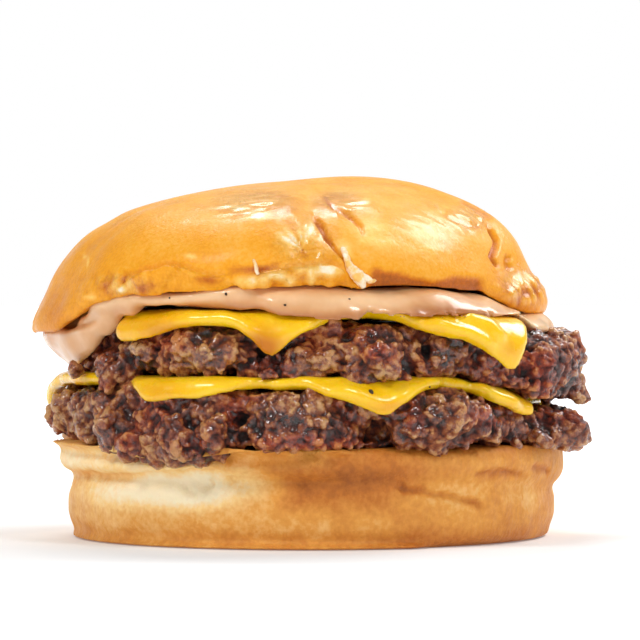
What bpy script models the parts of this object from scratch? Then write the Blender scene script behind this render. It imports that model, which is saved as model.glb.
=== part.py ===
"""A cheeseburger: bun heel, two seared patties with melted cheese on each, sauce and bun crown.

Every layer is a UV sphere pressed into shape: its lower half becomes the layer's underside, its
upper half the top, and the rings between them the edge that shows. Angles go round the burger in
degrees, with 0 at the front (-Y), 90 at the right (+X), -90 at the left and 180 at the back.
Lengths are in millimetres, and MM turns them into metres when a point is placed.
"""

import math

import bmesh
import bpy
from mathutils import Vector, noise

MM = 0.001
GAP = 0.4  # clearance that keeps two touching layers apart
SAUCE_GAP = 0.64  # the sauce keeps a little more, because it spans the folds of the cheese

# Driving heights of the stack, up its middle
HEEL_TOP = 19.3
LOWER_PATTY_TOP = 30.3
CHEESE = 2.2
UPPER_PATTY_THICK = 9.6
CROWN_UNDERSIDE = 50.3
CROWN_APEX = 70.3

# The heel
HEEL_CENTRE_X = 0.7
HEEL_RADIUS = 50.8
# Share of the radius and height, from the middle of the underside round to the middle of the top
HEEL_SECTION = (
    (0.0, 0.0),
    (0.48, 0.0),
    (0.88, 0.0),
    (0.93, 0.8),
    (0.953, 3.2),
    (0.96, 8.2),
    (0.957, 12.0),
    (0.948, 13.4),
    (0.976, 14.6),
    (1.0, 16.4),
    (0.99, 18.4),
    (0.95, HEEL_TOP),
    (0.5, HEEL_TOP),
    (0.0, HEEL_TOP),
)
HEEL_SIDE_SHARE = 0.9  # the section's points beyond this share of the radius are its side
HEEL_CREASE_RINGS = (6, 7)
HEEL_CREASE_DROP = {-90: 0.8, -40: 0.2, 0: 0.4, 40: 1.4, 75: 3.4, 105: 3.2, 140: 1.2, 180: 0.6}
HEEL_DROP_SHARES = {5: 0.4, 6: 0.9, 7: 1.0, 8: 0.9, 9: 0.4}  # of that drop, for the rings beside the crease
HEEL_CREASE_DEPTH = {-90: 0.6, -40: 0.9, -12: 0.2, 15: -0.5, 40: -0.2, 75: -0.1, 105: 0.2, 140: 0.7,
                     180: 0.1}
HEEL_SWELL = {-90: -0.2, -50: 0.2, -10: 0.4, 30: 0.2, 70: -0.1, 110: 0.2, 160: 0.4, -140: 0.2}

# The patties: how far the edge reaches, how far it hangs, and the gaps torn into it, each with its
# angle, half width in degrees and depth
PATTY_ROUNDING = 5.0
HANG_ZONE = 3.4  # the outermost stretch of a patty's edge, the only one that hangs down
HANG_OF_FOOT = 0.5  # extra hang of the edge's foot over its middle, as a share
PATTY_SQUARENESS = 2.6
DEGREES_PER_MM = 11.0  # turn round a patty's edge for each millimetre along it
LOWER_REACH = {
    -90: 50.3, -60: 51.2, -48: 51.6, -40: 53.0, -30: 54.3, -20: 54.6, -14: 53.6, -6: 54.4,
    4: 54.6, 14: 52.8, 22: 53.8, 34: 53.6, 49: 51.8, 54: 50.8, 62: 53.0, 75: 55.0, 90: 55.3,
    105: 53.5, 120: 52.0, 135: 53.4, 150: 54.0, 165: 52.8, 180: 53.6, -165: 54.2, -150: 53.0,
    -135: 52.2, -105: 50.6,
}
LOWER_HANG = {
    -90: 0.0, -46: 0.5, -38: 3.0, -30: 5.6, -18: 6.0, -10: 4.0, 0: 3.0, 10: 2.0, 16: 1.0,
    30: 1.5, 45: 0.6, 60: 2.4, 75: 3.4, 90: 3.4, 105: 2.0, 120: 1.0, 150: 3.0, 170: 1.5,
    -170: 4.0, -140: 2.0, -110: 0.0,
}
LOWER_TEARS = ((-41, 5, 2.6), (-14, 5, 2.4), (15, 6, 4.6), (51, 6, 4.0), (112, 6, 3.4),
               (158, 5, 3.6), (-150, 6, 3.2), (-106, 5, 2.4))
UPPER_REACH = {
    -90: 47.3, -62: 48.2, -50: 49.4, -34: 50.8, -25: 51.8, -14: 51.4, -9: 50.2, -4: 50.8,
    3: 51.4, 12: 52.2, 18: 52.0, 24: 51.0, 32: 52.0, 42: 52.4, 52: 53.2, 62: 54.2, 75: 55.0,
    90: 55.1, 105: 54.0, 120: 52.5, 135: 51.5, 150: 52.0, 165: 51.2, 180: 51.8, -165: 50.8,
    -150: 51.4, -135: 50.4, -120: 49.2, -105: 48.0,
}
UPPER_HANG = {
    -90: 1.0, -56: 1.0, -46: 3.2, -39: 1.0, -20: 0.4, -6: 0.8, 8: 1.2, 18: 0.4, 30: 0.0,
    50: 1.0, 62: 2.0, 80: 1.2, 110: 0.5, 140: 1.8, 165: 0.3, -170: 1.5, -140: 0.3, -115: 1.6,
}
UPPER_TEARS = ((-42, 5, 2.6), (-8, 5, 4.4), (2, 4, 3.0), (21, 5, 4.0), (35, 5, 3.0),
               (100, 6, 2.8), (128, 5, 3.4), (172, 6, 3.4), (-128, 6, 3.2))
CRAG_SIZE = 7.5
CRAG_DEPTH = 5.5
FINE_CRAG_SIZE = 3.4
FINE_CRAG_SHARE = 0.25
# The crags fade out towards the flat faces, by how far the edge has turned
CRAGS_UP_TO = 75.0
CRAGS_FADE = 35.0
# The cheese and the sauce press the mince in and smooth it, and most where their rim runs down
# the side. They reach so many degrees aside and millimetres beyond their rim
PRESSED_IN = 1.3
PRESSED_IN_STEEP = 0.18
PRESSED_SMOOTH = 0.7
COVER_ASIDE = 4.0
COVER_MARGIN = 2.6
COVER_FADE = 1.5
# The right-hand end of the stack sags over the heel, beyond this distance from the middle, and
# is almost level again beyond a second distance
SAG_FROM = 28.0
SAG_TO = 45.0
SAG_SLOPE = 0.32
SAG_BEND = 4.0
SAG_LEVELS = 0.75
UPPER_TOP_SAG_SHARE = 0.38

# The melted cheese: how far past the start of the patty's edge it runs, down the side. A value
# below zero stops short of the edge
LOWER_MELT = {
    -112: 1.5, -97: 8.5, -88: 5.5, -80: 3.0, -70: 2.0, -60: 1.0, -46: -0.5, -42: 1.5, -37: 4.5,
    -26: 3.5, -15: 2.5, -11: 0.5, -7: 1.5, -1: 1.0, 4: 3.5, 9: 5.5, 13: 7.0, 17: 8.0,
    20: 6.0, 23: 4.0, 27: 2.0, 34: 0.0, 39: 0.5, 44: 4.0, 50: 5.0, 56: 6.0, 61: 0.0, 66: -4.0,
    100: -3.0, 125: 2.0, 145: 8.5, 155: 4.0, 165: 1.0, 180: 0.5, -170: 2.0, -160: 6.0,
    -150: 2.0, -135: 0.5, -122: 3.5,
}
UPPER_MELT = {
    -52: -1.5, -45: 6.0, -40: 7.0, -34: 6.5, -30: 5.0, -21: 4.0, -15: 4.0, -12: 6.0, -8: 9.5,
    -5: 8.0, -2: 6.5, 2: 4.0, 6: 2.0, 10: 1.5, 17: 1.5, 21: 2.5, 24: 5.0, 28: 6.5, 35: 7.0,
    41: 8.0, 46: 9.0, 50: 7.0, 57: 0.0, 67: -7.0, 90: -7.0, 110: -3.0, 130: 3.0, 140: 10.0,
    148: 4.0, 165: 1.0, 180: 3.0, -172: 5.0, -160: 1.5, -145: 3.0, -133: 9.0, -125: 3.0,
    -110: -1.0, -90: -2.0, -60: -2.0,
}
EDGE_ZONE = 2.0  # the rings beside a sheet's rim lie in this last stretch, or further out
RIM_SHARES = (0.3, 0.6, 0.85, 1.0)  # where in that stretch they lie

# The sauce: how far it runs over the cheese, as for the cheese itself, and how far it bulges
SAUCE_RUN = {
    -90: 12.5, -72: 12.0, -60: 9.0, -50: 4.6, -46: 3.0, -40: 3.2, -34: 1.2, -20: 1.4, -10: 2.7,
    -6: 3.8, 4: 4.4, 24: 4.6, 30: 3.9, 36: 3.4, 45: 1.3, 55: 1.0, 62: 0.4, 72: 0.0, 92: -2.0,
    105: -1.0, 130: 2.0, 160: 3.6, 180: 3.0, -160: 2.4, -130: 4.0, -108: 10.0,
}
SAUCE_SINKS_FROM = 2.4  # beyond the cheese's rim, it sinks onto the patty over so many millimetres
SAUCE_SINKS_OVER = 2.2
OVER_RIM = 0.3  # one ring lies just past the rim of the cheese, and inside the ring after it
OVER_RIM_LEAST = 1.5
SAUCE_BULGE = {-90: 1.8, -50: 1.2, -30: 1.4, 0: 1.0, 30: 1.2, 60: 0.8, 90: 1.6, 140: 1.2, -140: 1.4}

# The crown
CROWN_CENTRE_X = -5.5
CROWN_RADIUS = {-90: 49.8, -40: 49.6, 0: 50.2, 50: 49.6, 66: 50.6, 80: 53.0, 95: 52.8, 112: 50.2,
                150: 49.8, 180: 50.2, -140: 49.8}
CROWN_RIM = {
    -90: 40.4, -64: 40.8, -54: 43.5, -47: 46.4, -36: 48.1, -14: 49.1, -8: 50.4, 9: 50.5,
    18: 49.2, 30: 49.4, 52: 48.3, 61: 46.4, 72: 44.6, 90: 44.8, 108: 47.0, 135: 48.8,
    180: 49.8, -150: 48.8, -125: 45.0,
}
CROWN_RIM_ROLL = 2.4
# Rings on the crown's underside and on the top of the sauce, as shares of the crown's radius
UNDERSIDE_SHARES = (0.0, 0.45, 0.7, 0.79, 0.88)
UNDERSIDE_EDGE_SHARE = 0.958
SAUCE_EDGE_SHARE = 0.945
RIM_SHARE = 0.985  # the rim's lowest ring
CROWN_SWAY = 0.28  # the dome is steeper on its right than on its left
CROWN_SHAPE = 2.12
# How far the dome's sides stand out beyond a plain curve, by how far up the curve has turned
CROWN_LEFT = {0: -0.2, 11: -1.6, 22: -0.7, 34: 1.0, 45: 2.7, 56: 2.7, 68: 1.2, 90: 0.0}
CROWN_RIGHT = {0: -0.2, 11: -2.2, 22: -1.6, 34: -0.2, 45: 1.2, 56: 2.3, 68: 2.4, 90: 0.0}
CROWN_HUMP = 2.1
CROWN_HUMP_X = 15.0
CROWN_HUMP_SIZE = 16.0
CREASES = (
    # start and end, as x and z seen from the front, with the depth
    ((0.5, 66.0), (10.0, 49.0), 1.3),
    ((3.6, 69.5), (11.0, 62.0), 0.8),
)
CREASE_WIDTH = 4.2
# The rim droops from this share of the radius on, over a second share
DROOP_FROM = 0.7
DROOP_OVER = 0.27
RIM_LIFT = 0.8  # the underside's edge stands this much above the rim's lowest ring

# Rings from pole to pole, and points round each ring. The points stand closer at the front
HEEL_MESH = (len(HEEL_SECTION) - 1, 76)
PATTY_MESH = (11, 88)
CHEESE_MESH = (12, 88)
SAUCE_MESH = (13, 88)
CROWN_MESH = (15, 88)
FRONT_CROWDING = 13.0
INNER_RING = 40.0  # radius of the one ring inside each layer's flat faces


def ease(x):
    x = min(max(x, 0.0), 1.0)
    return x * x * (3.0 - 2.0 * x)


def around(table, angle):
    """The table's value at an angle, eased from one entry to the next and on round the back."""
    knots = sorted(table)
    while angle < knots[0]:
        angle += 360.0
    after = next((k for k in knots if k > angle), knots[0] + 360.0)
    before = max(k for k in knots if k <= angle)
    low, high = table[before], table[knots[0] if after > knots[-1] else after]
    return low + (high - low) * ease((angle - before) / (after - before))


def bell(angle, centre, half_width):
    """1 at the centre angle, easing to 0 at half_width degrees from it."""
    away = abs((angle - centre + 180.0) % 360.0 - 180.0)
    return ease(1.0 - away / half_width)


def spot(angle, radius, height, centre_x=0.0):
    """The point at this angle, distance from the centre and height."""
    a = math.radians(angle)
    return Vector((centre_x + radius * math.sin(a), -radius * math.cos(a), height))


def pressed(name, shape, place, colour, roughness):
    """A UV sphere with each point moved to place(angle, ring), and with its own material."""
    rings, points = shape
    bm = bmesh.new()
    bmesh.ops.create_uvsphere(bm, u_segments=points, v_segments=rings, radius=1.0)
    for vert in bm.verts:
        ring = round(rings * math.acos(max(-1.0, min(1.0, -vert.co.z))) / math.pi)
        turn = math.atan2(vert.co.x, -vert.co.y)
        angle = math.degrees(turn) - FRONT_CROWDING * math.sin(turn)
        vert.co = place(angle, ring) * MM
    mesh = bpy.data.meshes.new(name)
    bm.to_mesh(mesh)
    bm.free()
    mesh.shade_smooth()
    mesh.materials.append(finish(name, colour, roughness))
    return bpy.data.objects.new(name, mesh)


def finish(name, colour, roughness):
    material = bpy.data.materials.new(name)
    material.use_nodes = True
    shader = material.node_tree.nodes["Principled BSDF"]
    shader.inputs["Base Color"].default_value = (*colour, 1.0)
    shader.inputs["Roughness"].default_value = roughness
    return material


# The heel


def heel_place(angle, ring):
    share, height = HEEL_SECTION[ring]
    radius = share * HEEL_RADIUS
    if share > HEEL_SIDE_SHARE:
        radius += around(HEEL_SWELL, angle)
    if ring in HEEL_CREASE_RINGS:
        radius -= around(HEEL_CREASE_DEPTH, angle)
    height -= HEEL_DROP_SHARES.get(ring, 0.0) * around(HEEL_CREASE_DROP, angle)
    return spot(angle, radius, height, HEEL_CENTRE_X)


def heel():
    return pressed("bun_heel", HEEL_MESH, heel_place, (0.79, 0.47, 0.16), 0.6)


# The patties. A patty's edge turns from -90 at its flat underside to 90 at its flat top


def sag(x):
    """How far the top of the lower patty, and all above it, has sunk. It bends smoothly."""
    sloping, level = (
        (math.hypot(x - start, SAG_BEND) + x - start) / 2.0 for start in (SAG_FROM, SAG_TO)
    )
    return SAG_SLOPE * (sloping - SAG_LEVELS * level)


def lower_patty_heights(x):
    """Where the patty's underside and top lie, at this distance to the right of the middle."""
    return HEEL_TOP + GAP, LOWER_PATTY_TOP - sag(x)


def upper_patty_heights(x):
    bottom = LOWER_PATTY_TOP + CHEESE + 2.0 * GAP
    return bottom - sag(x), bottom + UPPER_PATTY_THICK - UPPER_TOP_SAG_SHARE * sag(x)


LOWER_PATTY = {
    "heights": lower_patty_heights,
    "reach": LOWER_REACH,
    "hang": LOWER_HANG,
    "hang_from": HEEL_RADIUS - 0.2,
    "tears": LOWER_TEARS,
    "cover": (LOWER_MELT,),
}
UPPER_PATTY = {
    "heights": upper_patty_heights,
    "reach": UPPER_REACH,
    "hang": UPPER_HANG,
    "hang_from": 0.0,
    "tears": UPPER_TEARS,
    "cover": (UPPER_MELT, SAUCE_RUN),
}


def patty_flat(patty, angle):
    """Where the patty's flat top ends and its edge starts."""
    return around(patty["reach"], angle) - PATTY_ROUNDING


def over_patty(patty, angle, along, proud):
    """The point proud of the patty, as far along it from the middle of its top as a sheet of
    cheese or sauce runs: level at first, and then round the edge."""
    flat = patty_flat(patty, angle)
    if along > flat:
        return patty_edge(patty, angle, 90.0 - (along - flat) * DEGREES_PER_MM, proud)
    x = along * math.sin(math.radians(angle))
    return spot(angle, along, patty["heights"](x)[1] + proud)


def patty_edge(patty, angle, turn, proud):
    """The point proud of the patty's rounded edge, where the edge has turned so far."""
    a = math.radians(turn)
    power = 2.0 / PATTY_SQUARENESS
    out = abs(math.cos(a)) ** power
    up = math.copysign(abs(math.sin(a)) ** power, math.sin(a))
    reach = around(patty["reach"], angle)
    radius = reach - PATTY_ROUNDING + (PATTY_ROUNDING + proud) * out
    bottom, top = patty["heights"](radius * math.sin(math.radians(angle)))
    height = (bottom + top) / 2.0 + ((top - bottom) / 2.0 + proud) * up
    start = max(patty["hang_from"], reach - HANG_ZONE)
    hang = around(patty["hang"], angle) * ease((radius - start) / HANG_ZONE)
    return spot(angle, radius, height - hang * (1.0 - HANG_OF_FOOT * math.sin(a)) / (1.0 + HANG_OF_FOOT))


def crag(point):
    """Rounded lumps of mince with clefts between them, from about -0.6 to 0.5."""
    near = noise.voronoi(point / CRAG_SIZE)[0][0]
    return 0.5 - near + FINE_CRAG_SHARE * noise.noise(point / FINE_CRAG_SIZE)


def cover_over(patty, angle, along):
    """How much of this point the cheese and sauce cover, and how steeply their rims run here."""
    covered, steep = 0.0, 0.0
    for table in patty["cover"]:
        runs = [around(table, angle + aside) for aside in (-COVER_ASIDE, 0.0, COVER_ASIDE)]
        covered = max(covered, ease((max(runs) + COVER_MARGIN - along) / COVER_FADE))
        steep = max(steep, max(runs) - min(runs))
    return covered, steep


def patty_place(patty, angle, ring):
    rings = PATTY_MESH[0]
    inner = 2  # rings on each flat face, between the pole and the edge
    if ring < inner or ring > rings - inner:
        radius = INNER_RING * min(ring, rings - ring)
        heights = patty["heights"](radius * math.sin(math.radians(angle)))
        return spot(angle, radius, heights[ring > inner])
    turn = 180.0 * (ring - inner) / (rings - 2 * inner) - 90.0
    base = patty_edge(patty, angle, turn, 0.0)
    covered, steep = cover_over(patty, angle, (90.0 - turn) / DEGREES_PER_MM)
    lump = CRAG_DEPTH * crag(base) * (1.0 - PRESSED_SMOOTH * covered)
    lump -= covered * (PRESSED_IN + PRESSED_IN_STEEP * steep)
    tear = (1.0 - covered) * sum(depth * bell(angle, at, wide) for at, wide, depth in patty["tears"])
    side = ease((CRAGS_UP_TO - abs(turn)) / CRAGS_FADE)
    a = math.radians(turn)
    outward = spot(angle, math.cos(a), math.sin(a))
    return base + side * (outward * lump - spot(angle, tear, 0.0))


def lower_patty():
    return pressed(
        "patty_lower", PATTY_MESH, lambda a, r: patty_place(LOWER_PATTY, a, r), (0.17, 0.07, 0.035), 0.55
    )


def upper_patty():
    return pressed(
        "patty_upper", PATTY_MESH, lambda a, r: patty_place(UPPER_PATTY, a, r), (0.2, 0.085, 0.04), 0.5
    )


# The cheese, a sheet of even thickness that lies on the patty and runs down over its edge


def sheet_run(ring, last, fine, end):
    """How far along the sheet a ring lies. The first and last rings are its middle, the
    middle ring its rim, and the rings beside the rim are close together."""
    step = min(ring, last - ring)
    coarse = (0.0, INNER_RING, fine)
    if step < len(coarse):
        return coarse[step]
    return fine + (end - fine) * RIM_SHARES[step - len(coarse)]


def cheese_place(patty, melt, angle, ring):
    last = CHEESE_MESH[0]
    flat = patty_flat(patty, angle)
    end = flat + around(melt, angle)
    along = sheet_run(ring, last, min(flat, end - EDGE_ZONE), end)
    proud = GAP + CHEESE * (0.0 if 2 * ring < last else 0.5 if 2 * ring == last else 1.0)
    return over_patty(patty, angle, along, proud)


def lower_cheese():
    return pressed(
        "cheese_lower",
        CHEESE_MESH,
        lambda a, r: cheese_place(LOWER_PATTY, LOWER_MELT, a, r),
        (0.87, 0.45, 0.03),
        0.3,
    )


def upper_cheese():
    return pressed(
        "cheese_upper",
        CHEESE_MESH,
        lambda a, r: cheese_place(UPPER_PATTY, UPPER_MELT, a, r),
        (0.88, 0.47, 0.03),
        0.3,
    )


# The crown, a dome whose rim arches over the filling and droops at the left


def crown_underside(angle, share):
    """The height of the crown's cut face, at a share of its radius."""
    rim = around(CROWN_RIM, angle) + RIM_LIFT
    return CROWN_UNDERSIDE + (rim - CROWN_UNDERSIDE) * ease((share - DROOP_FROM) / DROOP_OVER)


def crease_depth(point):
    """How deep the folds in the crust are, near the lines that they follow down the front."""
    if point.y > 0.0:
        return 0.0
    deepest = 0.0
    for (x0, z0), (x1, z1), depth in CREASES:
        line = Vector((x1 - x0, z1 - z0))
        offset = Vector((point.x - x0, point.z - z0))
        share = min(max(offset.dot(line) / line.length_squared, 0.0), 1.0)
        away = (offset - line * share).length
        deepest = max(deepest, depth * ease(1.0 - away / CREASE_WIDTH))
    return deepest


def crown_place(angle, ring):
    radius = around(CROWN_RADIUS, angle)
    rim = around(CROWN_RIM, angle)
    under = UNDERSIDE_SHARES + (UNDERSIDE_EDGE_SHARE,)
    if ring < len(under):
        share = under[ring]
        return spot(angle, share * radius, crown_underside(angle, share), CROWN_CENTRE_X)
    if ring == len(under):
        return spot(angle, RIM_SHARE * radius, rim, CROWN_CENTRE_X)
    first = len(under) + 1
    a = math.pi / 2.0 * (ring - first) / (CROWN_MESH[0] - first)
    sideways = math.sin(math.radians(angle))
    power = 2.0 / (CROWN_SHAPE + CROWN_SWAY * sideways)
    base = rim + CROWN_RIM_ROLL
    out = radius * max(math.cos(a), 0.0) ** power
    out += around(CROWN_RIGHT if sideways > 0.0 else CROWN_LEFT, math.degrees(a)) * sideways**2
    height = base + (CROWN_APEX - base) * math.sin(a) ** power
    point = spot(angle, out, height, CROWN_CENTRE_X)
    hump = (Vector((point.x - CROWN_HUMP_X, point.y)).length / CROWN_HUMP_SIZE) ** 2
    point.z += CROWN_HUMP * math.exp(-hump) * math.sin(a)
    inward = Vector((CROWN_CENTRE_X, 0.0, HEEL_TOP)) - point
    return point + inward.normalized() * crease_depth(point)


def crown():
    return pressed("bun_crown", CROWN_MESH, crown_place, (0.83, 0.42, 0.12), 0.35)


# The sauce, which fills the space between the upper cheese and the crown


def sauce_over_cheese(angle, along):
    """The sauce's underside: it clears the cheese, and beyond the cheese it sinks to the patty."""
    beyond = along - patty_flat(UPPER_PATTY, angle) - around(UPPER_MELT, angle)
    cheese = (CHEESE + SAUCE_GAP) * ease(1.0 - (beyond - SAUCE_SINKS_FROM) / SAUCE_SINKS_OVER)
    return over_patty(UPPER_PATTY, angle, along, GAP + cheese)


def under_crown(angle, share):
    """The sauce's top, where it lies against the crown's cut face."""
    height = crown_underside(angle, share) - GAP
    return spot(angle, share * around(CROWN_RADIUS, angle), height, CROWN_CENTRE_X)


def sauce_place(angle, ring):
    last = SAUCE_MESH[0]
    flat = patty_flat(UPPER_PATTY, angle)
    end = flat + around(SAUCE_RUN, angle)
    start = min(flat, end - EDGE_ZONE)
    over_rim = min(start - OVER_RIM_LEAST, flat + around(UPPER_MELT, angle) + OVER_RIM)
    lower = (0.0, INNER_RING, over_rim, start, (start + end) / 2.0, end)
    upper = UNDERSIDE_SHARES + (SAUCE_EDGE_SHARE,)
    if ring < len(lower):
        return sauce_over_cheese(angle, lower[ring])
    if last - ring < len(upper):
        return under_crown(angle, upper[last - ring])
    share = (ring - len(lower) + 1) / (last - len(lower) - len(upper) + 2)
    low = sauce_over_cheese(angle, end)
    high = under_crown(angle, SAUCE_EDGE_SHARE)
    bulge = around(SAUCE_BULGE, angle) * math.sin(math.pi * share)
    return low.lerp(high, share) + spot(angle, bulge, 0.0)


def sauce():
    return pressed("sauce", SAUCE_MESH, sauce_place, (0.86, 0.6, 0.4), 0.35)


def centre_over_origin(objects):
    """Moves the points of all the layers, so that the burger stands centred on the origin."""
    spans = [[v.co[axis] for o in objects for v in o.data.vertices] for axis in range(2)]
    middle = Vector([(min(span) + max(span)) / 2.0 for span in spans] + [0.0])
    for layer in objects:
        for vert in layer.data.vertices:
            vert.co -= middle


def main():
    for old in list(bpy.data.objects):
        bpy.data.objects.remove(old)
    burger = bpy.data.collections.new("cheeseburger")
    bpy.context.scene.collection.children.link(burger)
    makers = (heel, lower_patty, lower_cheese, upper_patty, upper_cheese, sauce, crown)
    layers = [make() for make in makers]
    centre_over_origin(layers)
    for layer in layers:
        burger.objects.link(layer)


main()
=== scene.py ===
"""Dresses the cheeseburger's frame: bread, seared mince, melted cheese and sauce, and the studio.

Lengths are in millimetres, and METRE turns them into metres where a mesh is written.
"""

import math
import random

import bmesh
import bpy
import numpy as np
from mathutils import Matrix, Vector
from mathutils.bvhtree import BVHTree


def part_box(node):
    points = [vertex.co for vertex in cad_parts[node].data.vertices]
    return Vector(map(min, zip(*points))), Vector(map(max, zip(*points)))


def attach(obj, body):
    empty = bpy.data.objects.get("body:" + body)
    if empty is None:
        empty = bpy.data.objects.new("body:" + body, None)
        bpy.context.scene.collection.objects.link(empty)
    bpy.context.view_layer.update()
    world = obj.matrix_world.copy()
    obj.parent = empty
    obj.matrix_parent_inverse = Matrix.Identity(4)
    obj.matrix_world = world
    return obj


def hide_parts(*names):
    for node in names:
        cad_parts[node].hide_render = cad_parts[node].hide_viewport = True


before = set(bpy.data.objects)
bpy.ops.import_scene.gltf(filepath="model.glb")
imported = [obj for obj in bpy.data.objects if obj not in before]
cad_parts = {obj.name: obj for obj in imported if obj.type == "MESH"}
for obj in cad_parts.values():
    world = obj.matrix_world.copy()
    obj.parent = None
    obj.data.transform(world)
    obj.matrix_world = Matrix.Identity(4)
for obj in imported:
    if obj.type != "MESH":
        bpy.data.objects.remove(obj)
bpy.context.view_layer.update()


# The camera and the room. The burger stands on a white surface, seen from just above its middle,
# under broad soft lights from behind and above, with weaker ones at the front left and right.

METRE = 0.001
EYE = Vector((2.1, -900.0, 56.0))
AIM = Vector((2.1, 0.0, 43.0))
VIEW_WIDTH = 128.0  # the width that the picture covers at the burger's middle
SENSOR_WIDTH = 36.0
FLOOR_RADIUS = 4000.0
WALL_HEIGHT = 900.0
LIGHT_DISTANCE = 1000.0
LIT_HEIGHT = 40.0  # the lights point at the burger's middle, this high
GLOW_FROM, GLOW_TO = 70.0, 800.0  # the paper glows more from here to here, out from the middle


def aimed(direction):
    return direction.to_track_quat("-Z", "Y").to_euler()


camera = bpy.data.objects.new("camera", bpy.data.cameras.new("camera"))
camera.location = EYE * METRE
camera.rotation_euler = aimed(AIM - EYE)
camera.data.sensor_width = SENSOR_WIDTH
camera.data.lens = SENSOR_WIDTH * (AIM - EYE).length / VIEW_WIDTH
bpy.context.scene.collection.objects.link(camera)
bpy.context.scene.camera = camera
bpy.context.scene.view_settings.view_transform = "Standard"

world = bpy.data.worlds.new("studio")
world.use_nodes = True
world.node_tree.nodes["Background"].inputs["Color"].default_value = (1.0, 1.0, 1.0, 1.0)
world.node_tree.nodes["Background"].inputs["Strength"].default_value = 0.3
bpy.context.scene.world = world


def soft_light(name, around, up, width, height, watts):
    """A rectangular soft light at these angles round from the front and up."""
    light = bpy.data.objects.new(name, bpy.data.lights.new(name, "AREA"))
    light.data.shape = "RECTANGLE"
    light.data.size = width * METRE
    light.data.size_y = height * METRE
    light.data.energy = watts
    around, up = math.radians(around), math.radians(up)
    way = Vector((math.sin(around) * math.cos(up), -math.cos(around) * math.cos(up), math.sin(up)))
    light.location = (way * LIGHT_DISTANCE + Vector((0.0, 0.0, LIT_HEIGHT))) * METRE
    light.rotation_euler = aimed(-way)
    bpy.context.scene.collection.objects.link(light)


# each light's angles round and up, its width and height, and its watts
soft_light("back_right", 128.0, 42.0, 520.0, 420.0, 5.5)
soft_light("top", -170.0, 55.0, 420.0, 260.0, 3.8)
soft_light("front_right", 38.0, 44.0, 220.0, 180.0, 2.6)
soft_light("front_left", -46.0, 44.0, 280.0, 220.0, 3.4)


def stage_material(name, grey, glow_near, glow_far):
    """White paper that is lit evenly from behind, a little more so away from the middle."""
    paper = bpy.data.materials.new(name)
    paper.use_nodes = True
    nodes, links = paper.node_tree.nodes, paper.node_tree.links
    shader = nodes["Principled BSDF"]
    shader.inputs["Base Color"].default_value = (grey, grey, grey, 1.0)
    shader.inputs["Roughness"].default_value = 0.8
    shader.inputs["Specular IOR Level"].default_value = 0.0
    shader.inputs["Emission Color"].default_value = (1.0, 1.0, 1.0, 1.0)
    away = nodes.new("ShaderNodeVectorMath")
    away.operation = "LENGTH"
    links.new(nodes.new("ShaderNodeTexCoord").outputs["Object"], away.inputs[0])
    glow = nodes.new("ShaderNodeMapRange")
    glow.inputs["From Min"].default_value = GLOW_FROM * METRE
    glow.inputs["From Max"].default_value = GLOW_TO * METRE
    glow.inputs["To Min"].default_value = glow_near
    glow.inputs["To Max"].default_value = glow_far
    links.new(away.outputs["Value"], glow.inputs["Value"])
    links.new(glow.outputs["Result"], shader.inputs["Emission Strength"])
    return paper


def stage_piece(name, bm, material):
    mesh = bpy.data.meshes.new(name)
    bm.to_mesh(mesh)
    bm.free()
    mesh.materials.append(material)
    piece = bpy.data.objects.new(name, mesh)
    bpy.context.scene.collection.objects.link(piece)


floor_bm = bmesh.new()
bmesh.ops.create_circle(floor_bm, cap_ends=True, segments=96, radius=FLOOR_RADIUS * METRE)
stage_piece("floor", floor_bm, stage_material("white_paper", 0.78, 0.16, 0.84))

wall_bm = bmesh.new()
bmesh.ops.create_circle(wall_bm, cap_ends=False, segments=96, radius=FLOOR_RADIUS * METRE)
raised = bmesh.ops.extrude_edge_only(wall_bm, edges=wall_bm.edges[:])["geom"]
bmesh.ops.translate(
    wall_bm,
    verts=[v for v in raised if isinstance(v, bmesh.types.BMVert)],
    vec=(0.0, 0.0, WALL_HEIGHT * METRE),
)
stage_piece("wall", wall_bm, stage_material("lit_wall", 0.0, 1.0, 1.0))


# The heel is the flat lower half of a soft bun. Its skin is golden below, creamy where the dough
# spread last, and creased and cracked under the ledge that the cut face makes.


def grown(node, name, voxel, rounds):
    """A new piece in the place of a layer: its facets are rounded off, it gets a skin with faces of
    this size, and the skin is smoothed this many times."""
    bm = bmesh.new()
    bm.from_mesh(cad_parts[node].data)
    bmesh.ops.remove_doubles(bm, verts=bm.verts, dist=0.01 * METRE)
    bmesh.ops.join_triangles(
        bm, faces=bm.faces, angle_face_threshold=math.radians(50), angle_shape_threshold=math.radians(60)
    )
    mesh = bpy.data.meshes.new(name)
    bm.to_mesh(mesh)
    bm.free()
    piece = bpy.data.objects.new(name, mesh)
    bpy.context.scene.collection.objects.link(piece)
    rounding = piece.modifiers.new("rounding", "SUBSURF")
    rounding.levels = rounding.render_levels = 2
    # Rounding draws the corners in, so they are moved out first by as much
    wanted = points_of(piece)
    for _ in range(3):
        graph = bpy.context.evaluated_depsgraph_get()
        drawn_in = points_of(piece.evaluated_get(graph))[: len(wanted)]
        put_points(piece, points_of(piece) + wanted - drawn_in)
    skin = piece.modifiers.new("skin", "REMESH")
    skin.mode = "VOXEL"
    skin.voxel_size = voxel * METRE
    settle(piece)
    points, edges = points_of(piece), edges_of(piece)
    put_points(piece, relaxed(points, edges, rounds))
    return piece


def settle(piece):
    """Applies the piece's modifiers."""
    graph = bpy.context.evaluated_depsgraph_get()
    mesh = bpy.data.meshes.new_from_object(piece.evaluated_get(graph))
    old = piece.data
    piece.modifiers.clear()
    piece.data = mesh
    bpy.data.meshes.remove(old)


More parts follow.
